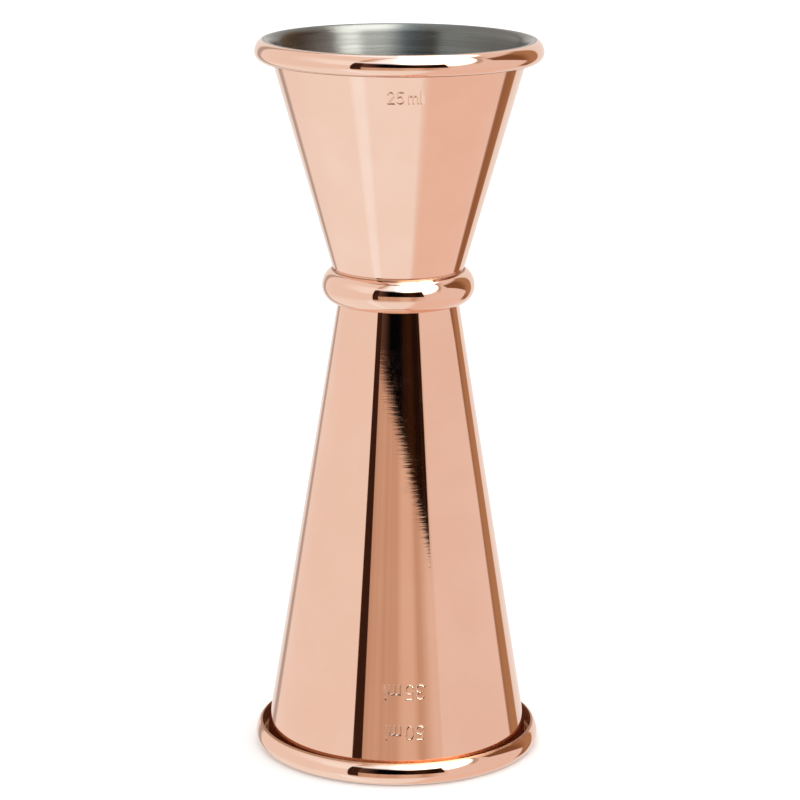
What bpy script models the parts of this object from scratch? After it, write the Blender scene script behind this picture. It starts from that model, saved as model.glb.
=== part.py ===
"""Banded bar jigger: two drawn steel cups set base to base, one small and one large.

A half-round collar covers the joint at the waist. The small cup opens upwards and the large
cup opens downwards, so the jigger stands on the rolled rim of its large cup.

The frame has +Z along the axis of the cups, with its origin on the surface that the jigger
stands on. Lengths are in metres.
"""

import math
from collections import namedtuple

import bpy

MM = 0.001

# Whole object
OVERALL_HEIGHT = 112.8 * MM
WAIST_HEIGHT = 74.8 * MM
SHEET = 0.6 * MM
FIT_GAP = 0.3 * MM
SEGMENTS = 48
WELD_DISTANCE = 0.01 * MM

# Braze in the joint, between the cup floors and behind the collar's two edges
BRAZE_FILM = 0.4 * MM
FLOOR_BRAZE_RADIUS = 7.6 * MM
COLLAR_BRAZE_WIDTH = 0.45 * MM
COLLAR_BRAZE_HEIGHT = 0.8 * MM

# The cups' floors lie on either side of the braze film.
FLOOR_SPACING = BRAZE_FILM + 2 * FIT_GAP

# A cup's floor and mouth are heights above the standing surface. Its waist radius is that of
# its wall at the floor. Its rim is a roll that reaches curl_crest beyond its widest point and
# curl_skirt behind it, and that ends at the angle curl_edge.
Cup = namedtuple(
    "Cup", "floor mouth rim_radius waist_radius curl_width curl_crest curl_skirt curl_edge"
)

SMALL_CUP = Cup(
    floor=WAIST_HEIGHT + FLOOR_SPACING / 2,
    mouth=OVERALL_HEIGHT,
    rim_radius=22.2 * MM,
    waist_radius=9.65 * MM,
    curl_width=2.85 * MM,
    curl_crest=1.9 * MM,
    curl_skirt=1.4 * MM,
    curl_edge=math.radians(-75),
)

LARGE_CUP = Cup(
    floor=WAIST_HEIGHT - FLOOR_SPACING / 2,
    mouth=0.0,
    rim_radius=22.6 * MM,
    waist_radius=9.05 * MM,
    curl_width=2.4 * MM,
    curl_crest=1.5 * MM,
    curl_skirt=2.1 * MM,
    curl_edge=math.radians(-78),
)

# Both cups
FLOOR_CORNER_RADIUS = 1.2 * MM
RIM_LAND = 0.6 * MM
CURL_STEPS = 12
CORNER_STEPS = 3

# Waist collar, a half-round band bent from sheet
COLLAR_RADIUS = 11.9 * MM
COLLAR_SHEET = 0.5 * MM
COLLAR_MIDDLE = 74.5 * MM
COLLAR_UPPER_HEIGHT = 2.8 * MM
COLLAR_LOWER_HEIGHT = 2.6 * MM
COLLAR_STEPS = 7

# Colour, roughness and metallic value of each material
COPPER_PLATE = ((0.85, 0.56, 0.45), 0.08, 1.0)
BRAZE_FILLER = ((0.72, 0.66, 0.52), 0.45, 1.0)


def clear_scene():
    for obj in list(bpy.data.objects):
        bpy.data.objects.remove(obj)


def make_collection(name):
    collection = bpy.data.collections.new(name)
    bpy.context.scene.collection.children.link(collection)
    return collection


def make_material(name, look):
    colour, roughness, metallic = look
    material = bpy.data.materials.new(name)
    material.use_nodes = True
    shader = material.node_tree.nodes["Principled BSDF"]
    shader.inputs["Base Color"].default_value = (*colour, 1.0)
    shader.inputs["Roughness"].default_value = roughness
    shader.inputs["Metallic"].default_value = metallic
    material.diffuse_color = (*colour, 1.0)
    return material


def ellipse_arc(centre, radii, start, end, steps):
    """Points of an elliptical arc in the profile plane, both ends included."""
    angles = [start + (end - start) * step / steps for step in range(steps + 1)]
    return [
        (centre[0] + radii[0] * math.cos(angle), centre[1] + radii[1] * math.sin(angle))
        for angle in angles
    ]


def turned(name, profile, material, collection, closed=False):
    """A solid turned about Z. The profile runs down its outer side."""
    edges = [(i, i + 1) for i in range(len(profile) - 1)]
    if closed:
        edges.append((len(profile) - 1, 0))
    mesh = bpy.data.meshes.new(name)
    mesh.from_pydata([(radius, 0.0, z) for radius, z in profile], edges, [])
    mesh.materials.append(make_material(name, material))
    obj = bpy.data.objects.new(name, mesh)
    collection.objects.link(obj)
    screw = obj.modifiers.new("Turn", "SCREW")
    screw.steps = SEGMENTS
    screw.render_steps = SEGMENTS
    screw.use_merge_vertices = True
    screw.merge_threshold = WELD_DISTANCE
    screw.use_smooth_shade = True


def roll_centre(cup):
    """Centre of the rolled rim, as its radius and its height above the cup's floor."""
    depth = abs(cup.mouth - cup.floor)
    return (cup.rim_radius - cup.curl_width / 2, depth - cup.curl_crest)


def roll_arc(cup, inset, start, end, steps):
    """Points round a cup's roll, this far inside its outer face, both ends included."""
    centre = roll_centre(cup)
    angles = [start + (end - start) * step / steps for step in range(steps + 1)]
    points = []
    for angle in angles:
        reach = cup.curl_crest if angle > 0 else cup.curl_skirt
        radius = centre[0] + (cup.curl_width / 2 - inset) * math.cos(angle)
        points.append((radius, centre[1] + (reach - inset) * math.sin(angle)))
    return points


def wall_lean(cup):
    """How far the wall moves out for each unit of height above the cup's floor."""
    radius, height = roll_centre(cup)
    return (radius - (cup.curl_width / 2 - SHEET) - cup.waist_radius) / height


def outer_wall(cup, z):
    """Outer radius of the cup's wall at this height above the standing surface."""
    return cup.waist_radius + wall_lean(cup) * abs(z - cup.floor)


def cup_profile(cup):
    """Section of a cup that stands on its floor at z = 0, its wall rolled outwards at the rim.

    The profile starts on the axis inside the cup, climbs the inner wall, rolls over the rim to
    the curl's free edge, and comes back inside the roll and down the outer wall.
    """
    centre = roll_centre(cup)
    depth = centre[1] + cup.curl_crest
    lean = wall_lean(cup)
    wall_angle = math.atan(lean)
    inner_waist = cup.waist_radius - SHEET / math.cos(wall_angle) + SHEET * lean

    def floor_corner(foot, floor, radius):
        """The bend from the floor into the wall, where foot is the two faces' sharp corner."""
        run = radius * math.tan((math.pi / 2 - wall_angle) / 2)
        middle = (foot - run, floor + radius)
        return ellipse_arc(middle, (radius, radius), -math.pi / 2, -wall_angle, CORNER_STEPS)

    # The inner wall meets the roll at its tangent point, and the rim's top is a flat land.
    half_width = cup.curl_width / 2
    roll_start = math.pi - math.atan(lean * cup.curl_crest / half_width)
    land_angle = math.acos(RIM_LAND / 2 / half_width)
    over_crest = roll_arc(cup, 0.0, roll_start, math.pi - land_angle, CURL_STEPS // 3)
    land = [(centre[0] - RIM_LAND / 2, depth), (centre[0] + RIM_LAND / 2, depth)]
    down_roll = roll_arc(cup, 0.0, land_angle, cup.curl_edge, CURL_STEPS)
    inside_roll = roll_arc(cup, SHEET, cup.curl_edge, roll_start, CURL_STEPS)
    return (
        [(0.0, SHEET)]
        + floor_corner(inner_waist, SHEET, FLOOR_CORNER_RADIUS - SHEET / 2)
        + over_crest[:-1]
        + land
        + down_roll[1:]
        + inside_roll
        + floor_corner(cup.waist_radius, 0.0, FLOOR_CORNER_RADIUS)[::-1]
        + [(0.0, 0.0)]
    )


def make_cups(collection):
    opening_up = [(radius, SMALL_CUP.floor + z) for radius, z in cup_profile(SMALL_CUP)]
    opening_down = [(radius, LARGE_CUP.floor - z) for radius, z in cup_profile(LARGE_CUP)]
    turned("small_cup", opening_up, COPPER_PLATE, collection)
    turned("large_cup", opening_down[::-1], COPPER_PLATE, collection)


def make_collar(collection):
    """The band's section is two quarter ellipses, its edges turned in to meet the two walls."""
    top_foot = outer_wall(SMALL_CUP, COLLAR_MIDDLE + COLLAR_UPPER_HEIGHT) + FIT_GAP
    bottom_foot = outer_wall(LARGE_CUP, COLLAR_MIDDLE - COLLAR_LOWER_HEIGHT) + FIT_GAP
    quarters = (
        (top_foot, COLLAR_UPPER_HEIGHT, math.pi / 2, 0.0),
        (bottom_foot, COLLAR_LOWER_HEIGHT, 0.0, -math.pi / 2),
    )
    outside = []
    inside = []
    for foot, height, start, end in quarters:
        centre = (foot, COLLAR_MIDDLE)
        outer = (COLLAR_RADIUS - foot, height)
        inner = (outer[0] - COLLAR_SHEET, outer[1] - COLLAR_SHEET)
        outside += ellipse_arc(centre, outer, start, end, COLLAR_STEPS)
        inside += ellipse_arc(centre, inner, start, end, COLLAR_STEPS)
    # The two quarters share the point at mid height.
    del outside[COLLAR_STEPS]
    del inside[COLLAR_STEPS]
    turned("waist_collar", outside + inside[::-1], COPPER_PLATE, collection, closed=True)


def make_braze(collection):
    half_film = BRAZE_FILM / 2
    disc = [
        (0.0, WAIST_HEIGHT + half_film),
        (FLOOR_BRAZE_RADIUS, WAIST_HEIGHT + half_film),
        (FLOOR_BRAZE_RADIUS, WAIST_HEIGHT - half_film),
        (0.0, WAIST_HEIGHT - half_film),
    ]
    turned("floor_braze", disc, BRAZE_FILLER, collection)

    # Each fillet lies against its cup's wall, just inside the collar's turned-in edge.
    clear = COLLAR_SHEET + FIT_GAP
    top = COLLAR_MIDDLE + COLLAR_UPPER_HEIGHT - clear
    foot = top - COLLAR_BRAZE_HEIGHT
    upper = [
        (outer_wall(SMALL_CUP, top) + FIT_GAP + COLLAR_BRAZE_WIDTH, top),
        (outer_wall(SMALL_CUP, foot) + FIT_GAP, foot),
        (outer_wall(SMALL_CUP, top) + FIT_GAP, top),
    ]
    turned("upper_collar_braze", upper, BRAZE_FILLER, collection, closed=True)

    bottom = COLLAR_MIDDLE - COLLAR_LOWER_HEIGHT + clear
    head = bottom + COLLAR_BRAZE_HEIGHT
    lower = [
        (outer_wall(LARGE_CUP, head) + FIT_GAP, head),
        (outer_wall(LARGE_CUP, bottom) + FIT_GAP + COLLAR_BRAZE_WIDTH, bottom),
        (outer_wall(LARGE_CUP, bottom) + FIT_GAP, bottom),
    ]
    turned("lower_collar_braze", lower, BRAZE_FILLER, collection, closed=True)


def main():
    clear_scene()
    jigger = make_collection("bar_jigger")
    make_cups(jigger)
    make_collar(jigger)
    make_braze(jigger)


main()
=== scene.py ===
"""Looks of the banded bar jigger: finely turned shells, their finishes, studio light and camera."""

import math

import bpy
import numpy as np
from mathutils import Matrix, Vector


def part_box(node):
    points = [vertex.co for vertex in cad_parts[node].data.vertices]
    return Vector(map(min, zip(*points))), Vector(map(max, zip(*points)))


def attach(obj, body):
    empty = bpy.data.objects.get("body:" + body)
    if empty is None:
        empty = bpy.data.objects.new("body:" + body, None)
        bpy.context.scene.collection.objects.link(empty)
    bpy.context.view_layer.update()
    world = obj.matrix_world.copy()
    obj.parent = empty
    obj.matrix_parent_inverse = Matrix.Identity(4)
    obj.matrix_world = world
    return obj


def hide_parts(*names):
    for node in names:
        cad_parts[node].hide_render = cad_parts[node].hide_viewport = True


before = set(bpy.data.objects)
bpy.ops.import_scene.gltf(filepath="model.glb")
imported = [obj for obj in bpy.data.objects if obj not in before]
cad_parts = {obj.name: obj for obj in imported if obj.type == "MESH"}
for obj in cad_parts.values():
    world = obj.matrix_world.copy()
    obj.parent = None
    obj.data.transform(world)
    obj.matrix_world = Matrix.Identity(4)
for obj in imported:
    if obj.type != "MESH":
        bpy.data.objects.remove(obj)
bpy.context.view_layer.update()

MM = 0.001

# ---------------------------------------------------------------------------------------------
# Driving sizes. Heights and outer radii come from the frame, sheet and roll sizes are the CAD's.
# ---------------------------------------------------------------------------------------------
SMALL_LOW, SMALL_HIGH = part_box("small_cup")
LARGE_LOW, LARGE_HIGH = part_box("large_cup")
COLLAR_LOW, COLLAR_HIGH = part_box("waist_collar")

FRONT = math.radians(-90)
BACK = math.radians(90)

SHEET = 0.6 * MM
EDGE_ROUND = 0.12 * MM
FLOOR_CORNER = 1.2 * MM

# A cup opens up or down, as its "opening" is 1 or -1. Its roll is half an ellipse on either side
# of the widest point. The quarter on the outer side that faces up is a superellipse instead, of
# the exponent "slack", a little flatter than the ellipse's 2. Its roll ends at "roll_edge", and
# its measure marks are centred on "mark_turn", both as angles.
SMALL = {
    "opening": 1,
    "floor": SMALL_LOW.z,
    "mouth": SMALL_HIGH.z,
    "rim": SMALL_HIGH.x,
    "waist": 9.65 * MM,
    "roll_width": 2.85 * MM,
    "roll_crest": 1.9 * MM,
    "roll_skirt": 1.4 * MM,
    "slack": 1.85,
    "roll_edge": math.radians(-75),
    "mark_turn": FRONT + math.radians(2.6),
}
LARGE = {
    "opening": -1,
    "floor": LARGE_HIGH.z,
    "mouth": LARGE_LOW.z,
    "rim": LARGE_HIGH.x,
    "waist": 9.05 * MM,
    "roll_width": 2.4 * MM,
    "roll_crest": 1.5 * MM,
    "roll_skirt": 2.1 * MM,
    "slack": 1.72,
    "roll_edge": math.radians(-78),
    "mark_turn": FRONT + math.radians(3.9),
}

COLLAR_SHEET = 0.5 * MM
COLLAR_SEAT = 0.02 * MM
COLLAR_FILLET = 0.22 * MM
COLLAR_SLACK = 1.85
COLLAR_MIDDLE = 74.5 * MM

# Where the steel inside gives way to copper outside, as an angle round the rolled rim.
PLATE_LINE = math.radians(78)

# Fineness of the turned meshes. LIP_ROWS is how many rows before the lip already take the dull
# copper, darkened with painted shade.
COLUMNS = 240
WALL_ROWS = 10
ROLL_STEPS = 36
CORNER_STEPS = 8
LIP_STEPS = 4
LIP_ROWS = 3
FILLET_STEPS = 5
FLOOR_RINGS = 7
BASE_RINGS = 3
SHARP_EDGE = math.radians(40)

# Material slots of a cup, and of the collar
# The dull slots are rough copper darkened with painted shade, for the crevices at the rims' lips
# and the collar's fillet.
COPPER, STEEL, DULL_SHADED, ETCHED = 0, 1, 2, 3
COLLAR_COPPER, COLLAR_DULL_SHADED = 0, 1

# Measure marks. A stroke's flanks reach MARK_STROKE from its centre line, and its faces are
# etched where its depth is over the share MARK_EDGE. The mesh is MARK_PITCH fine around it.
MARK_STROKE = 0.17 * MM
MARK_EDGE = 0.25
MARK_PITCH = 0.06 * MM
MARK_MARGIN = 0.25 * MM

# The marks stand where the wall is about this share of the rim's radius.
MARK_RADIUS = 0.88

# Each mark: text, height above the surface the jigger stands on, height of its characters, depth.
SMALL_MARKS = (("25 ml", 106.2 * MM, 1.9 * MM, 0.085 * MM),)
LARGE_MARKS = (
    ("35 ml", 14.1 * MM, 2.3 * MM, 0.048 * MM),
    ("50 ml", 7.85 * MM, 2.2 * MM, 0.048 * MM),
)


# ---------------------------------------------------------------------------------------------
# Profiles
# ---------------------------------------------------------------------------------------------
def arc(centre, radii, start, end, steps):
    """Points of an elliptical arc in the profile plane, both ends included."""
    turn = np.linspace(start, end, steps + 1)
    across = centre[0] + radii[0] * np.cos(turn)
    along = centre[1] + radii[1] * np.sin(turn)
    return np.column_stack([across, along])


def flattened(turn, exponent):
    """Unit coordinates round a superellipse: an ellipse if the exponent is 2, flatter below it."""
    cosine, sine = np.cos(turn), np.sin(turn)
    power = 2 / exponent
    return np.sign(cosine) * np.abs(cosine) ** power, np.sign(sine) * np.abs(sine) ** power


def rounded(neighbours, corner, radius, steps):
    """A small curve in place of a profile's sharp corner, which has these two neighbours."""
    before, after = neighbours
    corner = np.array(corner)
    to_before = np.array(before) - corner
    to_after = np.array(after) - corner
    start = corner + radius * to_before / np.linalg.norm(to_before)
    end = corner + radius * to_after / np.linalg.norm(to_after)
    blend = np.linspace(0, 1, steps + 1)[:, None]
    return (1 - blend) ** 2 * start + 2 * blend * (1 - blend) * corner + blend**2 * end


def points_between(start, end, count):
    """Evenly spaced points of a straight run, without its two ends."""
    share = np.linspace(0, 1, count + 2)[1:-1, None]
    return (1 - share) * start + share * end


def cup_shape(cup):
    """Centre of the roll, and the wall's lean, of a cup that stands on its floor at height 0."""
    half_width = cup["roll_width"] / 2
    centre = (cup["rim"] - half_width, abs(cup["mouth"] - cup["floor"]) - cup["roll_crest"])
    lean = (centre[0] - (half_width - SHEET) - cup["waist"]) / centre[1]
    return centre, lean


def roll_arc(cup, inset, start, end, steps):
    """Points round the roll, this far inside its outer face, both ends included."""
    centre, _ = cup_shape(cup)
    turn = np.linspace(start, end, steps + 1)
    reach = np.where(turn > 0, cup["roll_crest"], cup["roll_skirt"]) - inset
    half_width = cup["roll_width"] / 2 - inset
    faces_up = (np.cos(turn) > 0) & (np.sin(turn) * cup["opening"] > 0)
    across, along = flattened(turn, np.where(faces_up, cup["slack"], 2.0))
    return np.column_stack([centre[0] + half_width * across, centre[1] + reach * along])


def wall_radius(cup, height):
    """Outer radius of the wall at this height above the outside of the floor."""
    return cup["waist"] + cup_shape(cup)[1] * height


def cup_profile(cup, mark_rows):
    """Section of a cup that stands on its floor at height 0, and the finish of each of its rows.

    It runs from the axis inside, over the rim, to the axis outside. mark_rows are extra heights
    on the outer wall, close together where measure marks are cut.
    """
    _, lean = cup_shape(cup)
    lean_angle = math.atan(lean)
    roll_start = math.pi - math.atan(lean * cup["roll_crest"] / (cup["roll_width"] / 2))
    corner_run = math.tan((math.pi / 2 - lean_angle) / 2)

    def floor_corner(foot, floor, radius):
        middle = (foot - radius * corner_run, floor + radius)
        return arc(middle, (radius, radius), -math.pi / 2, -lean_angle, CORNER_STEPS)

    # Steel, from the axis to the plate line on the rim
    inner_foot = cup["waist"] - SHEET / math.cos(lean_angle) + SHEET * lean
    inside_corner = floor_corner(inner_foot, SHEET, FLOOR_CORNER - SHEET / 2)
    steel_roll = roll_arc(cup, 0, roll_start, PLATE_LINE, ROLL_STEPS // 2)
    inside_wall = points_between(inside_corner[-1], steel_roll[0], WALL_ROWS)
    floor_radii = np.linspace(0, inside_corner[0][0], FLOOR_RINGS + 1)[:-1]
    floor = np.column_stack([floor_radii, np.full(FLOOR_RINGS, SHEET)])

    # Copper, from the plate line round the roll and its lip, and down the outer wall
    copper_roll = roll_arc(cup, 0, PLATE_LINE, cup["roll_edge"], ROLL_STEPS)
    hidden_roll = roll_arc(cup, SHEET, cup["roll_edge"], roll_start, ROLL_STEPS)
    free_edge = copper_roll[-1], hidden_roll[0]
    outer_lip = rounded((copper_roll[-2], free_edge[1]), free_edge[0], EDGE_ROUND, LIP_STEPS)
    inner_lip = rounded((free_edge[0], hidden_roll[1]), free_edge[1], EDGE_ROUND, LIP_STEPS)
    outside_corner = floor_corner(cup["waist"], 0.0, FLOOR_CORNER)
    wall_top, wall_foot = hidden_roll[-1], outside_corner[-1]
    plain_rows = points_between(wall_top, wall_foot, WALL_ROWS)[:, 1]
    heights = np.sort(np.concatenate([plain_rows, mark_rows]))[::-1]
    share = (heights - wall_top[1]) / (wall_foot[1] - wall_top[1])
    outside_wall = wall_top + share[:, None] * (wall_foot - wall_top)
    base_radii = np.linspace(outside_corner[0][0], 0, BASE_RINGS + 1)[1:]
    base = np.column_stack([base_radii, np.zeros(BASE_RINGS)])

    steel = [floor, inside_corner, inside_wall, steel_roll]
    copper = [copper_roll[1:-1], outer_lip, inner_lip, hidden_roll[1:], outside_wall]
    copper += [outside_corner[::-1], base]
    points = np.concatenate(steel + copper)
    finish = np.full(len(points) - 1, COPPER)
    plate_start = sum(len(part) for part in steel) - 1
    finish[:plate_start] = STEEL
    lip = plate_start + len(copper[0])
    roll_end = lip + len(outer_lip) + len(inner_lip) + len(hidden_roll) - 1
    # The lip and the hidden roll get rough copper darkened with painted shade.
    finish[lip - LIP_ROWS : roll_end] = DULL_SHADED
    return points, finish


# ---------------------------------------------------------------------------------------------
# Measure marks: plain single-stroke characters, one unit high
# ---------------------------------------------------------------------------------------------
DIGIT_WIDTH = 0.74


def stroke_arc(centre, radii, start, end, steps=12):
    return arc(centre, radii, math.radians(start), math.radians(end), steps)


def glyphs():
    """Strokes and advance width of each character."""
    zero = stroke_arc((0.28, 0.5), (0.25, 0.47), 0, 360, 24)
    two_bowl = stroke_arc((0.28, 0.72), (0.25, 0.25), 165, -35)
    two = np.concatenate([two_bowl, [(0.03, 0.03), (0.55, 0.03)]])
    three_upper = stroke_arc((0.27, 0.74), (0.23, 0.23), 150, -90)
    three_lower = stroke_arc((0.27, 0.27), (0.26, 0.25), 90, -150)
    five_flag = np.array([(0.5, 0.97), (0.1, 0.97), (0.07, 0.54)])
    five_bowl = stroke_arc((0.26, 0.32), (0.27, 0.29), 135, -150)
    m_stem = np.array([(0.04, 0.03), (0.04, 0.66)])
    m_first = np.concatenate([stroke_arc((0.22, 0.46), (0.18, 0.19), 180, 0), [(0.4, 0.03)]])
    m_second = np.concatenate([stroke_arc((0.58, 0.46), (0.18, 0.19), 180, 0), [(0.76, 0.03)]])
    l_stem = np.array([(0.04, 0.03), (0.04, 0.97)])
    return {
        "0": ([zero], DIGIT_WIDTH),
        "2": ([two], DIGIT_WIDTH),
        "3": ([three_upper, three_lower], DIGIT_WIDTH),
        "5": ([five_flag, five_bowl], DIGIT_WIDTH),
        "m": ([m_stem, m_first, m_second], 0.96),
        "l": ([l_stem], 0.08),
        " ": ([], 0.16),
    }


def strokes_of(text, height):
    """Line segments of the text at this cap height, centred on the origin, and its width."""
    shapes = glyphs()
    width = sum(shapes[letter][1] for letter in text)
    segments = []
    pen = -width / 2
    for letter in text:
        strokes, advance = shapes[letter]
        for stroke in strokes:
            line = (np.asarray(stroke) + (pen, -0.5)) * height
            segments += list(zip(line[:-1], line[1:]))
        pen += advance
    return np.array(segments), width * height


def near_strokes(points, segments, half_width):
    """1 on the strokes' centre lines, falling smoothly to 0 at half_width from them."""
    nearest = np.full(len(points), np.inf)
    for start, end in segments:
        along = end - start
        share = np.clip((points - start) @ along / (along @ along), 0, 1)
        gap = np.linalg.norm(points - start - share[:, None] * along, axis=1)
        nearest = np.minimum(nearest, gap)
    depth = np.clip(1 - nearest / half_width, 0, 1)
    return depth * depth * (3 - 2 * depth)


def on_outer_wall(profile, cup):
    """Which points of the section lie on the outer wall, and not a sheet away on the inner one."""
    height = (profile[:, 1] - cup["floor"]) * cup["opening"]
    return np.abs(profile[:, 0] - wall_radius(cup, height)) < SHEET / 3


def cut_marks(rings, finish, profile, columns, cup, marks):
    """Cuts each mark in the outer wall: moves its vertices inwards and gives its faces a finish."""
    opening = cup["opening"]
    lean_angle = math.atan(cup_shape(cup)[1])
    inward = np.array([-math.cos(lean_angle), math.sin(lean_angle) * opening])
    wall = on_outer_wall(profile, cup)
    for text, height, size, mark_depth in marks:
        segments, width = strokes_of(text, size)
        for row in np.flatnonzero(wall & (np.abs(profile[:, 1] - height) < size)):
            radius, level = profile[row]
            across = (columns - cup["mark_turn"]) * radius * opening
            up = np.full(len(columns), (level - height) / math.cos(lean_angle) * opening)
            close = np.flatnonzero(np.abs(across) < width / 2 + MARK_STROKE)
            stroke = near_strokes(np.column_stack([across, up])[close], segments, MARK_STROKE)
            finish[row, close[stroke > MARK_EDGE]] = ETCHED
            depth = mark_depth * stroke
            rings[row, close, 0] += depth * inward[0] * np.cos(columns[close])
            rings[row, close, 1] += depth * inward[0] * np.sin(columns[close])
            rings[row, close, 2] += depth * inward[1]


# ---------------------------------------------------------------------------------------------
# Turned meshes
# ---------------------------------------------------------------------------------------------
def plain_columns():
    """Angles of evenly spaced columns of vertices, starting at the back."""
    return BACK + np.arange(COLUMNS) * math.tau / COLUMNS - math.tau


def marked_columns(mark_turn, half_sector):
    """Angles of the columns of a cup, with finer ones across the sector of its marks."""
    plain = plain_columns()
    radius = 0.5 * (SMALL["rim"] + LARGE["rim"])
    count = int(math.ceil(2 * half_sector * radius / MARK_PITCH))
    fine = mark_turn + np.linspace(-half_sector, half_sector, count)
    outside = np.abs(plain - mark_turn) > half_sector + math.tau / COLUMNS / 4
    return np.sort(np.concatenate([plain[outside], fine]))


def ring_points(profile, columns):
    """The ring of vertices that each profile point makes when it is turned about Z."""
    radius = profile[:, 0][:, None]
    height = np.repeat(profile[:, 1][:, None], len(columns), 1)
    return np.stack([radius * np.cos(columns), radius * np.sin(columns), height], axis=2)


def turned_mesh(name, rings, finish, closed):
    """One closed body turned about Z, from its rings of vertices.

    finish holds the material of each face, by row and column. An open profile starts and ends on
    the axis, so its end rings are single points.
    """
    rows, count = rings.shape[:2]
    if closed:
        vertices = rings.reshape(-1, 3)
    else:
        vertices = np.concatenate([rings[:1, 0], rings[1:-1].reshape(-1, 3), rings[-1:, 0]])

    def vertex(row, column):
        if closed:
            return (row % rows) * count + column % count
        if row == 0:
            return 0
        if row == rows - 1:
            return len(vertices) - 1
        return 1 + (row - 1) * count + column % count

    faces, slots = [], []
    for row in range(rows if closed else rows - 1):
        for column in range(count):
            corners = (
                vertex(row, column),
                vertex(row, column + 1),
                vertex(row + 1, column + 1),
                vertex(row + 1, column),
            )
            # At the axis two of the corners are one vertex.
            faces.append(tuple(dict.fromkeys(corners)))
            slots.append(int(finish[row, column]))
    mesh = bpy.data.meshes.new(name)
    mesh.from_pydata(vertices.tolist(), [], faces)
    mesh.polygons.foreach_set("material_index", slots)
    mesh.polygons.foreach_set("use_smooth", [True] * len(faces))
    mesh.update()
    mesh.set_sharp_from_angle(angle=SHARP_EDGE)
    obj = bpy.data.objects.new(name, mesh)
    bpy.context.scene.collection.objects.link(obj)
    return obj


def make_cup(name, cup, marks):
    opening = cup["opening"]
    mark_rows = []
    widest = 0.0
    for text, height, size, _ in marks:
        half = size / 2 + MARK_MARGIN
        above_floor = (height - cup["floor"]) * opening
        mark_rows.append(np.arange(above_floor - half, above_floor + half, MARK_PITCH))
        widest = max(widest, strokes_of(text, size)[1])
    profile, finish = cup_profile(cup, np.concatenate(mark_rows))
    profile[:, 1] = cup["floor"] + opening * profile[:, 1]
    half_sector = (widest / 2 + MARK_MARGIN) / (cup["rim"] * MARK_RADIUS)
    columns = marked_columns(cup["mark_turn"], half_sector)
    # Turned over, the section is walked the other way, so that the faces still point out.
    profile = profile[::opening]
    finish = finish[::opening]
    rings = ring_points(profile, columns)
    finish = np.repeat(finish[:, None], len(columns), axis=1)
    cut_marks(rings, finish, profile, columns, cup, marks)
    return turned_mesh(name, rings[:, ::-1], finish[:, ::-1], closed=False)


def make_collar():
    """Half-round band of bent sheet, its two edges turned in against the walls of the cups."""
    top = COLLAR_HIGH.z - COLLAR_FILLET
    bottom = COLLAR_LOW.z
    top_foot = wall_radius(SMALL, top - SMALL["floor"]) + COLLAR_SEAT
    bottom_foot = wall_radius(LARGE, LARGE["floor"] - bottom) + COLLAR_SEAT
    quarters = (
        (top_foot, top - COLLAR_MIDDLE, math.pi / 2, 0.0, COLLAR_SLACK),
        (bottom_foot, COLLAR_MIDDLE - bottom, 0.0, -math.pi / 2, 2.0),
    )
    outside, inside = [], []
    for foot, height, start, end, exponent in quarters:
        centre = np.array([foot, COLLAR_MIDDLE])
        outer = np.array([COLLAR_HIGH.x - foot, height])
        turn = np.linspace(start, end, ROLL_STEPS // 2 + 1)
        outside.append(centre + outer * np.column_stack(flattened(turn, exponent)))
        inside.append(arc(centre, outer - COLLAR_SHEET, start, end, ROLL_STEPS // 2))

    # The polished band ends above in a small dull fillet against the small cup's wall, its copper
    # darkened with painted shade.
    above = COLLAR_HIGH.z + MM
    wall_above = (wall_radius(SMALL, above - SMALL["floor"]), above)
    band = outside[0][outside[0][:, 0] > top_foot + COLLAR_FILLET]
    fillet = rounded((wall_above, band[0]), (top_foot, top), COLLAR_FILLET, FILLET_STEPS)
    outside = np.concatenate([fillet, band[:-1], outside[1]])
    inside = np.concatenate([inside[0][:-1], inside[1]])
    profile = np.concatenate([outside, inside[::-1]])
    columns = plain_columns()
    finish = np.full((len(profile), len(columns)), COLLAR_COPPER)
    # The fillet gets rough copper darkened with painted shade.
    finish[: len(fillet)] = COLLAR_DULL_SHADED
    return turned_mesh("collar_band", ring_points(profile, columns)[:, ::-1], finish, closed=True)


# ---------------------------------------------------------------------------------------------
# Shader graphs
# ---------------------------------------------------------------------------------------------
class Graph:
    """Short names for building a node tree. Any value may be a number, a colour or a socket."""

    def __init__(self, tree):
        self.tree = tree

    def node(self, kind, **settings):
        made = self.tree.nodes.new(kind)
        for key, value in settings.items():
            setattr(made, key, value)
        return made

    def set(self, socket, value):
        if isinstance(value, bpy.types.NodeSocket):
            self.tree.links.new(value, socket)
        else:
            socket.default_value = value

    def math(self, operation, *values):
        made = self.node("ShaderNodeMath", operation=operation)
        for socket, value in zip(made.inputs, values):
            self.set(socket, value)
        return made.outputs[0]

    def split(self, vector):
        made = self.node("ShaderNodeSeparateXYZ")
        self.set(made.inputs[0], vector)
        return made.outputs

    def smooth(self, value, low, high, to_low=0.0, to_high=1.0):
        """A smooth step from to_low at low to to_high at high."""
        made = self.node("ShaderNodeMapRange", interpolation_type="SMOOTHSTEP")
        names = ("Value", "From Min", "From Max", "To Min", "To Max")
        for key, item in zip(names, (value, low, high, to_low, to_high)):
            self.set(made.inputs[key], item)
        return made.outputs["Result"]

    def mix(self, share, first, second):
        made = self.node("ShaderNodeMix", data_type="RGBA")
        self.set(made.inputs["Factor"], share)
        self.set(made.inputs["A"], first)
        self.set(made.inputs["B"], second)
        return made.outputs["Result"]

    def noise(self, vector, scale, detail=2.0, roughness=0.5):
        made = self.node("ShaderNodeTexNoise")
        self.set(made.inputs["Vector"], vector)
        self.set(made.inputs["Scale"], scale)
        self.set(made.inputs["Detail"], detail)
        self.set(made.inputs["Roughness"], roughness)
        return made.outputs["Fac"]

    def bump(self, height, depth):
        """Surface normals of a relief, whose height runs from 0 to 1 over this depth in metres."""
        made = self.node("ShaderNodeBump")
        made.inputs["Strength"].default_value = 1.0
        made.inputs["Distance"].default_value = depth
        self.set(made.inputs["Height"], height)
        return made.outputs[0]


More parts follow.
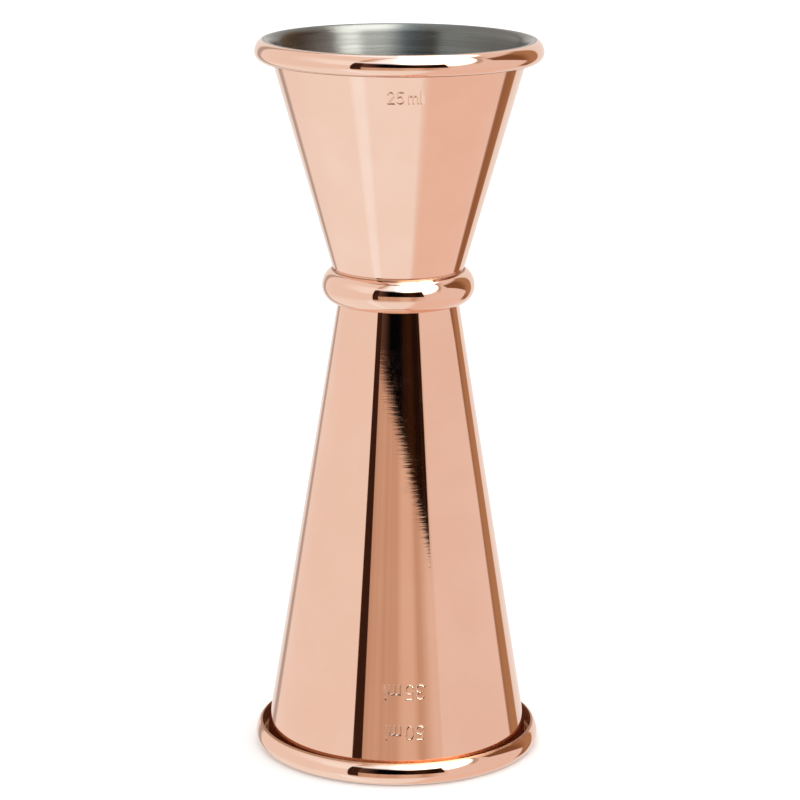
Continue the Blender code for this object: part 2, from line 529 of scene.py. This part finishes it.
# ---------------------------------------------------------------------------------------------
# Finishes. Colours are linear, and noise scales are in cells per metre.
# ---------------------------------------------------------------------------------------------
PLATE_COLOURS = (0.872, 0.592, 0.468, 1), (0.853, 0.570, 0.445, 1)
STEEL_COLOURS = (0.20, 0.20, 0.185, 1), (0.155, 0.155, 0.143, 1)
# Rough copper darkened with painted shade, for the crevices at the rims' lips and above the collar.
DULL_SHADED_COLOURS = (0.42, 0.22, 0.13, 1), (0.50, 0.27, 0.16, 1)
ETCHED_COLOURS = (0.84, 0.56, 0.43, 1), (0.89, 0.62, 0.49, 1)
BRAZE_COLOURS = (0.72, 0.66, 0.50, 1), (0.55, 0.47, 0.33, 1)
FLOOR_COLOURS = (0.94, 0.94, 0.94, 1), (0.95, 0.95, 0.95, 1)

PLATE_ROUGHNESS = (0.025, 0.06)
STEEL_ROUGHNESS = (0.24, 0.34)
DULL_ROUGHNESS = (0.32, 0.45)
ETCHED_ROUGHNESS = (0.18, 0.27)
BRAZE_ROUGHNESS = (0.35, 0.6)

PLATE_LINES_DEPTH = 0.0000016
BRUSH_DEPTH = 0.000012
BRAZE_DEPTH = 0.00003

# Turning lines are told apart by height plus this share of the radius, on walls and floors alike.
LINES_ACROSS = 0.7


def new_material(name, metallic):
    material = bpy.data.materials.new(name)
    material.use_nodes = True
    shader = material.node_tree.nodes["Principled BSDF"]
    shader.inputs["Metallic"].default_value = metallic
    return material, Graph(material.node_tree), shader


def object_position(graph):
    return graph.node("ShaderNodeTexCoord").outputs["Object"]


def turning_coordinates(graph, around, along):
    """Object coordinates stretched into rings: around and along are noise cells per metre."""
    position = object_position(graph)
    x, y, z = graph.split(position)
    squares = graph.math("ADD", graph.math("MULTIPLY", x, x), graph.math("MULTIPLY", y, y))
    radius = graph.math("SQRT", squares)
    path = graph.math("ADD", z, graph.math("MULTIPLY", radius, LINES_ACROSS))
    joined = graph.node("ShaderNodeCombineXYZ")
    graph.set(joined.inputs["X"], graph.math("MULTIPLY", x, around))
    graph.set(joined.inputs["Y"], graph.math("MULTIPLY", y, around))
    graph.set(joined.inputs["Z"], graph.math("MULTIPLY", path, along))
    return joined.outputs[0], position


def copper_plate():
    """Mirror-polished rose copper with faint turning lines and small changes of tone."""
    material, graph, shader = new_material("rose_copper_plate", 1.0)
    rings, position = turning_coordinates(graph, around=260, along=2600)
    lines = graph.noise(rings, scale=1.0, detail=3.0, roughness=0.6)
    cloud = graph.noise(position, scale=90.0, detail=3.0, roughness=0.55)
    smudge = graph.noise(position, scale=420.0, detail=4.0, roughness=0.6)
    tone = graph.smooth(cloud, 0.35, 0.65)
    graph.set(shader.inputs["Base Color"], graph.mix(tone, *PLATE_COLOURS))
    graph.set(shader.inputs["Roughness"], graph.smooth(smudge, 0.45, 0.8, *PLATE_ROUGHNESS))
    graph.set(shader.inputs["Normal"], graph.bump(lines, PLATE_LINES_DEPTH))
    return material


def brushed_steel():
    """Bare stainless steel with close circular brush lines."""
    material, graph, shader = new_material("brushed_stainless", 1.0)
    rings, _ = turning_coordinates(graph, around=60, along=5200)
    brush = graph.noise(rings, scale=1.0, detail=5.0, roughness=0.65)
    broad, _ = turning_coordinates(graph, around=25, along=900)
    bands = graph.noise(broad, scale=1.0, detail=2.0, roughness=0.5)
    tone = graph.smooth(bands, 0.3, 0.7)
    graph.set(shader.inputs["Base Color"], graph.mix(tone, *STEEL_COLOURS))
    graph.set(shader.inputs["Roughness"], graph.smooth(brush, 0.3, 0.7, *STEEL_ROUGHNESS))
    graph.set(shader.inputs["Normal"], graph.bump(brush, BRUSH_DEPTH))
    shader.inputs["Anisotropic"].default_value = 0.8
    shader.inputs["Anisotropic Rotation"].default_value = 0.25
    tangent = graph.node("ShaderNodeTangent", direction_type="RADIAL", axis="Z")
    graph.set(shader.inputs["Tangent"], tangent.outputs[0])
    return material


def mottled_metal(name, scale, detail, colours, roughness, relief=None):
    """A metal whose colour and roughness follow one noise, and its relief too where it has one."""
    material, graph, shader = new_material(name, 1.0)
    mottle = graph.noise(object_position(graph), scale, detail, roughness=0.6)
    graph.set(shader.inputs["Base Color"], graph.mix(mottle, *colours))
    graph.set(shader.inputs["Roughness"], graph.smooth(mottle, 0.3, 0.7, *roughness))
    if relief:
        graph.set(shader.inputs["Normal"], graph.bump(mottle, relief))
    return material


def dull_copper_painted_shade():
    """Unpolished copper in the joint above the collar and inside the rolled rims, its colour
    darkened with painted shade for these crevices.
    """
    return mottled_metal("dull_copper_painted_shade", 900.0, 3.0, DULL_SHADED_COLOURS, DULL_ROUGHNESS)


def etched_copper():
    """Slightly matte surface of the measure marks."""
    return mottled_metal("etched_copper", 4000.0, 3.0, ETCHED_COLOURS, ETCHED_ROUGHNESS)


def braze_metal():
    """Dull, slightly mottled filler, hidden inside the joint."""
    look = (BRAZE_COLOURS, BRAZE_ROUGHNESS, BRAZE_DEPTH)
    return mottled_metal("braze_filler_metal", 1500.0, 4.0, *look)


# ---------------------------------------------------------------------------------------------
# Studio: a light tent that the polished metal mirrors, told by direction round the object.
# Azimuth is in degrees from the front (-Y), positive to the right; elevation is above level.
# ---------------------------------------------------------------------------------------------
TENT = (0.93, 0.89, 0.86, 1)
LEFT_BOX = (0.97, 0.91, 0.875, 1)
LEFT_BOX_FRONT = (1.08, 1.14, 1.18, 1)
LEFT_SEAM = (0.52, 0.455, 0.42, 1)
RIGHT_BOX = (0.92, 0.79, 0.745, 1)
RIGHT_TABLE = (0.93, 0.76, 0.69, 1)
TABLE = (1.02, 1.05, 1.06, 1)
TABLE_BRIGHT = (1.08, 1.19, 1.27, 1)
REAR_GAP = (0.46, 0.26, 0.14, 1)
REAR_GAP_DARK = (0.24, 0.11, 0.05, 1)
REAR_GAP_LOW = (0.32, 0.155, 0.075, 1)
CARD = (0.70, 0.50, 0.385, 1)
CARD_STREAK = (0.62, 0.42, 0.305, 1)
CARD_LIGHT = (0.82, 0.63, 0.51, 1)
CARD_RIGHT = (0.86, 0.71, 0.62, 1)
CARD_SIDE = (0.045, 0.018, 0.010, 1)
DARK_ROOM = (0.001, 0.001, 0.002, 1)
DARK_LEFT = (0.10, 0.055, 0.04, 1)
DARK_RIGHT = (0.035, 0.013, 0.005, 1)
LIGHT_RIM = (0.58, 0.48, 0.40, 1)
TOP_LIGHT = (6.3, 6.4, 6.3, 1)
TOP_LIGHT_LEFT = (1.25, 1.5, 1.72, 1)
UNSEEN_WHITE = (1.3, 1.3, 1.3, 1)

# Spans of the tent: low edge, high edge and how soft the edges are. They are azimuths, or
# elevations in a name that ends in LEVELS.
LEFT_BOX_SPAN = (-142.0, -38.8, 0.8)
RIGHT_BOX_SPAN = (41.0, 141.0, 0.8)
LIT_FRONT_LEVELS = (19.0, 43.0, 16.0)
SEAM_SPAN = (-152.0, -141.0, 7.0)
REAR_GAP_LEVELS = (-30.0, 38.0, 8.0)
TABLE_SPAN = (-142.0, 28.0, 14.0)
TABLE_BRIGHT_SPAN = (-50.0, -36.0, 8.0)
TABLE_SHADED_SPAN = (28.0, 120.0, 14.0)
CARD_SPAN = (-38.8, 41.0, 0.8)
CARD_LIGHT_SPAN = (3.0, 19.0, 9.0)
CARD_SIDE_SPAN = (-38.8, -30.0, 0.8)
LIGHT_SPAN = (-25.0, 195.0, 22.0)
LIGHT_FRONT_SPAN = (-62.0, -20.0, 10.0)
LIGHT_RIM_SPAN = (64.0, 96.0, 8.0)
ROOM_SPAN = (-38.8, 38.5, 1.5)

# Fades from one colour to the next: where each starts and where it is complete
LIT_FRONT_FADE = (-115.0, -55.0)
REAR_GAP_FADE = (110.0, 130.0)
REAR_GAP_LOW_FADE = (-26.0, -12.0)
CARD_RIGHT_FADE = (24.0, 36.0)
LIGHT_FADE = (-10.0, 22.0)
ROOM_TOP_FADE = (-15.0, 15.0)
ROOM_LEFT_FADE = (-30.0, -12.0)
ROOM_STRIPES_FADE = (0.0, 14.0)

# The gap behind on the right is wider the higher it is, between two azimuths.
GAP_AT_LEVEL = 113.0
GAP_LEAN = 1.2
GAP_FIRST, GAP_LAST = 84.0, 121.0
GAP_SOFT = 4.0

# Elevation of the table's far edge
TABLE_EDGE = -24.0

# The overhead light's lower edge climbs by a square law past LIGHT_TURN, up to ZENITH_EDGE, with
# a brown rim below it.
LIGHT_EDGE = 15.0
LIGHT_TURN = 43.0
LIGHT_CLIMB = 0.026
LIGHT_SOFT = 8.0
LIGHT_RIM_DEPTH = 13.0
LIGHT_FRONT_TOP = 43.0
ZENITH_EDGE = 58.0
REAR_LEFT_EDGE = -130.0

# The dark room over the card, whose top edge falls by a square law past CARD_TURN
CARD_TOP = 4.72
CARD_TURN = -25.0
CARD_FALL = 0.001
CARD_SIDE_FOOT = -16.0
ROOM_TOP_LEFT = 34.0
ROOM_TOP_RIGHT = 29.0

# Streaks on the card and in the room run straight up, this many to a unit of direction.
STREAKS_ACROSS = 5.0


class Sky:
    """Layers of light painted over each other by direction. Edges and softness are degrees."""

    def __init__(self, graph, direction):
        self.graph = graph
        x, y, z = graph.split(direction)
        to_degrees = 180 / math.pi
        turn = graph.math("ARCTAN2", x, graph.math("MULTIPLY", y, -1.0))
        self.azimuth = graph.math("MULTIPLY", turn, to_degrees)
        self.elevation = graph.math("MULTIPLY", graph.math("ARCSINE", z), to_degrees)
        stretched = graph.node("ShaderNodeVectorMath", operation="MULTIPLY")
        graph.set(stretched.inputs[0], direction)
        graph.set(stretched.inputs[1], (STREAKS_ACROSS, 0.0, 0.0))
        self.streak = graph.noise(stretched.outputs[0], scale=1.0, detail=3.0, roughness=0.6)
        self.colour = TENT

    def over(self, value, edge, soft):
        """Share of the light that lies past this edge."""
        past = self.graph.math("SUBTRACT", value, edge)
        return self.graph.smooth(past, -soft / 2, soft / 2)

    def under(self, value, edge, soft):
        return self.graph.math("SUBTRACT", 1.0, self.over(value, edge, soft))

    def both(self, *shares):
        total = shares[0]
        for share in shares[1:]:
            total = self.graph.math("MULTIPLY", total, share)
        return total

    def sector(self, low, high, soft):
        return self.both(self.over(self.azimuth, low, soft), self.under(self.azimuth, high, soft))

    def level(self, low, high, soft):
        value = self.elevation
        return self.both(self.over(value, low, soft), self.under(value, high, soft))

    def square_past(self, start, rate):
        """A curve that rises with the square of the azimuth past this start."""
        past = self.graph.math("SUBTRACT", self.azimuth, start)
        past = self.graph.math("MAXIMUM", past, 0.0)
        return self.graph.math("MULTIPLY", self.graph.math("POWER", past, 2.0), rate)

    def paint(self, share, colour):
        self.colour = self.graph.mix(share, self.colour, colour)


def paint_boxes(sky):
    """The two side boxes, the seam behind the left one and the brown gap behind on the right."""
    graph = sky.graph
    azimuth, elevation = sky.azimuth, sky.elevation
    lit_front = sky.both(sky.level(*LIT_FRONT_LEVELS), graph.smooth(azimuth, *LIT_FRONT_FADE))
    left_box = graph.mix(lit_front, LEFT_BOX, LEFT_BOX_FRONT)
    sky.paint(sky.sector(*LEFT_BOX_SPAN), left_box)
    sky.paint(sky.sector(*SEAM_SPAN), LEFT_SEAM)
    sky.paint(sky.sector(*RIGHT_BOX_SPAN), RIGHT_BOX)

    gap_edge = graph.math("MULTIPLY", elevation, GAP_LEAN)
    gap_edge = graph.math("SUBTRACT", GAP_AT_LEVEL, gap_edge)
    gap_edge = graph.math("MINIMUM", graph.math("MAXIMUM", gap_edge, GAP_FIRST), GAP_LAST)
    past_edge = sky.over(azimuth, gap_edge, GAP_SOFT)
    before_end = sky.under(azimuth, RIGHT_BOX_SPAN[1], GAP_SOFT)
    brown = graph.mix(graph.smooth(azimuth, *REAR_GAP_FADE), REAR_GAP_DARK, REAR_GAP)
    brown = graph.mix(graph.smooth(elevation, *REAR_GAP_LOW_FADE), REAR_GAP_LOW, brown)
    sky.paint(sky.both(past_edge, before_end, sky.level(*REAR_GAP_LEVELS)), brown)


def paint_table(sky):
    """The table, bright at the left box's foot, and pink on the right where a box shades it."""
    low = sky.under(sky.elevation, TABLE_EDGE, 16.0)
    sky.paint(sky.both(low, sky.sector(*TABLE_SPAN)), TABLE)
    sky.paint(sky.both(low, sky.sector(*TABLE_BRIGHT_SPAN)), TABLE_BRIGHT)
    sky.paint(sky.both(low, sky.sector(*TABLE_SHADED_SPAN)), RIGHT_TABLE)


def paint_card(sky):
    """The brown card between the boxes, streaked, and lighter towards its right."""
    graph = sky.graph
    card = graph.mix(graph.smooth(sky.streak, 0.35, 0.65), CARD, CARD_STREAK)
    card = graph.mix(sky.sector(*CARD_LIGHT_SPAN), card, CARD_LIGHT)
    card = graph.mix(graph.smooth(sky.azimuth, *CARD_RIGHT_FADE), card, CARD_RIGHT)
    sky.paint(sky.both(sky.sector(*CARD_SPAN), sky.over(sky.elevation, TABLE_EDGE, 20.0)), card)


def paint_top_light(sky):
    """The strong light overhead, which has a brown rim where its edge climbs on the right."""
    graph = sky.graph
    azimuth, elevation = sky.azimuth, sky.elevation
    light_edge = graph.math("ADD", LIGHT_EDGE, sky.square_past(LIGHT_TURN, LIGHT_CLIMB))
    light_edge = graph.math("MINIMUM", light_edge, ZENITH_EDGE)
    rim_edge = graph.math("SUBTRACT", light_edge, LIGHT_RIM_DEPTH)
    over_rim = sky.over(elevation, rim_edge, LIGHT_SOFT)
    sky.paint(sky.both(sky.sector(*LIGHT_RIM_SPAN), over_rim), LIGHT_RIM)

    over_edge = sky.over(elevation, light_edge, LIGHT_SOFT)
    under_top = sky.under(elevation, LIGHT_FRONT_TOP, LIGHT_SOFT)
    sky.paint(sky.both(sky.sector(*LIGHT_FRONT_SPAN), over_edge, under_top), LEFT_BOX_FRONT)
    light = graph.mix(graph.smooth(azimuth, *LIGHT_FADE), TOP_LIGHT_LEFT, TOP_LIGHT)
    sky.paint(sky.both(sky.sector(*LIGHT_SPAN), over_edge), light)
    rear_left = sky.under(azimuth, REAR_LEFT_EDGE, 22.0)
    sky.paint(sky.both(rear_left, sky.over(elevation, ZENITH_EDGE, 16.0)), TOP_LIGHT_LEFT)


def paint_dark_room(sky):
    """Over the card: the black room, a little lighter on its left, and the card's dark side."""
    graph = sky.graph
    azimuth, elevation = sky.azimuth, sky.elevation
    card_top = graph.math("SUBTRACT", CARD_TOP, sky.square_past(CARD_TURN, CARD_FALL))
    room_top = graph.smooth(azimuth, *ROOM_TOP_FADE, ROOM_TOP_LEFT, ROOM_TOP_RIGHT)
    over_card = sky.over(elevation, card_top, 0.5)
    below_top = sky.under(elevation, room_top, 10.0)
    room = sky.both(sky.sector(*ROOM_SPAN), over_card, below_top)
    dark = graph.mix(graph.smooth(azimuth, *ROOM_LEFT_FADE), DARK_LEFT, DARK_ROOM)
    streaks = graph.smooth(sky.streak, 0.35, 0.6, to_low=0.2, to_high=1.0)
    stripes = sky.both(graph.smooth(azimuth, *ROOM_STRIPES_FADE), streaks)
    sky.paint(room, graph.mix(stripes, dark, DARK_RIGHT))
    side_height = sky.level(CARD_SIDE_FOOT, ROOM_TOP_LEFT, 8.0)
    sky.paint(sky.both(sky.sector(*CARD_SIDE_SPAN), side_height), CARD_SIDE)


def studio_world():
    world = bpy.data.worlds.new("light_tent")
    bpy.context.scene.world = world
    world.use_nodes = True
    world.node_tree.nodes.clear()
    graph = Graph(world.node_tree)
    sky = Sky(graph, graph.node("ShaderNodeTexCoord").outputs["Generated"])
    paint_boxes(sky)
    paint_table(sky)
    paint_card(sky)
    paint_top_light(sky)
    paint_dark_room(sky)

    # Only mirrored rays see the tent in detail; everything else sees an even white.
    path = graph.node("ShaderNodeLightPath")
    seen = graph.mix(path.outputs["Is Glossy Ray"], UNSEEN_WHITE, sky.colour)
    background = graph.node("ShaderNodeBackground")
    graph.set(background.inputs["Color"], seen)
    output = graph.node("ShaderNodeOutputWorld")
    graph.set(output.inputs["Surface"], background.outputs[0])


FLOOR_HALF = 6.0
FLOOR_DROP = 0.02 * MM


def studio_floor():
    """A pale floor, just clear of the rim, that the metal doesn't mirror."""
    mesh = bpy.data.meshes.new("studio_floor")
    corners = [(x * FLOOR_HALF, y * FLOOR_HALF, 0) for x, y in ((-1, -1), (1, -1), (1, 1), (-1, 1))]
    mesh.from_pydata(corners, [], [(0, 1, 2, 3)])
    floor = bpy.data.objects.new("studio_floor", mesh)
    floor.location.z = -FLOOR_DROP
    bpy.context.scene.collection.objects.link(floor)
    floor.visible_glossy = False
    material, graph, shader = new_material("pale_floor", 0.0)
    grain = graph.noise(object_position(graph), scale=300.0, detail=3.0, roughness=0.5)
    graph.set(shader.inputs["Base Color"], graph.mix(grain, *FLOOR_COLOURS))
    shader.inputs["Roughness"].default_value = 0.9
    shader.inputs["Specular IOR Level"].default_value = 0.0
    mesh.materials.append(material)


# ---------------------------------------------------------------------------------------------
# Camera
# ---------------------------------------------------------------------------------------------
CAMERA_PLACE = Vector((0.33 * MM, -455.5 * MM, 166.5 * MM))
CAMERA_PITCH = math.radians(13.637)
CAMERA_ROLL = math.radians(0.25)
CAMERA_LENS = 134.2
CAMERA_SENSOR = 36.0
CAMERA_NEAR = 10 * MM


def place_camera():
    camera = bpy.data.cameras.new("camera")
    camera.sensor_width = CAMERA_SENSOR
    camera.lens = CAMERA_LENS
    camera.clip_start = CAMERA_NEAR
    obj = bpy.data.objects.new("camera", camera)
    bpy.context.scene.collection.objects.link(obj)
    tilt = Matrix.Rotation(math.pi / 2 - CAMERA_PITCH, 4, "X")
    look = tilt @ Matrix.Rotation(CAMERA_ROLL, 4, "Z")
    obj.matrix_world = Matrix.Translation(CAMERA_PLACE) @ look
    bpy.context.scene.camera = obj


# ---------------------------------------------------------------------------------------------
# Assembly
# ---------------------------------------------------------------------------------------------
def finish_piece(piece, node, slot, *materials):
    for material in materials:
        piece.data.materials.append(material)
    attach(piece, "root")
    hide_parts(node)


def build_jigger():
    copper = copper_plate()
    dull_painted_shade = dull_copper_painted_shade()
    cup_materials = (copper, brushed_steel(), dull_painted_shade, etched_copper())
    small = make_cup("small_cup_shell", SMALL, SMALL_MARKS)
    large = make_cup("large_cup_shell", LARGE, LARGE_MARKS)
    collar = make_collar()
    finish_piece(small, "small_cup", "copper_plated_cup", *cup_materials)
    finish_piece(large, "large_cup", "copper_plated_cup", *cup_materials)
    finish_piece(collar, "waist_collar", "copper_plated_collar", copper, dull_painted_shade)
    braze = braze_metal()
    for node in ("floor_braze", "upper_collar_braze", "lower_collar_braze"):
        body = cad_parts[node]
        body.data.materials.clear()
        body.data.materials.append(braze)


def main():
    build_jigger()
    studio_world()
    studio_floor()
    place_camera()
    bpy.context.scene.view_settings.view_transform = "Standard"


main()
